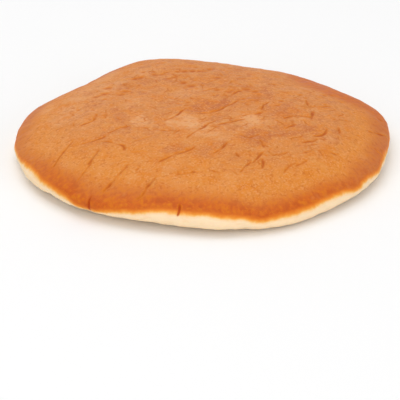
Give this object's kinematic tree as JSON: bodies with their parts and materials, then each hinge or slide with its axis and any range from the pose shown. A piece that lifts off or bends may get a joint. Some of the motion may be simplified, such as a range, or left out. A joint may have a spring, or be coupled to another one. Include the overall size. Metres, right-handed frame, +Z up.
{
  "type": "buttermilk pancake",
  "caption": "Thick round griddled pancake: low browned dome with shallow creases, thin pale rim, flat underside it rests on.",
  "frame": {"origin": "middle of the outline's plan box, on the surface the pancake rests on", "axes": "+Z up out of the domed crust, -Y towards the viewer of the picture, +X to the viewer's right"},
  "size_m": [0.1076, 0.107, 0.0148],
  "materials": {
    "griddled_batter": "soft matte golden-brown griddled crust, paler towards the rim, with a pale cream crumb edge"
  },
  "bodies": {
    "root": {"pancake": "griddled_batter"}
  },
  "joints": []
}
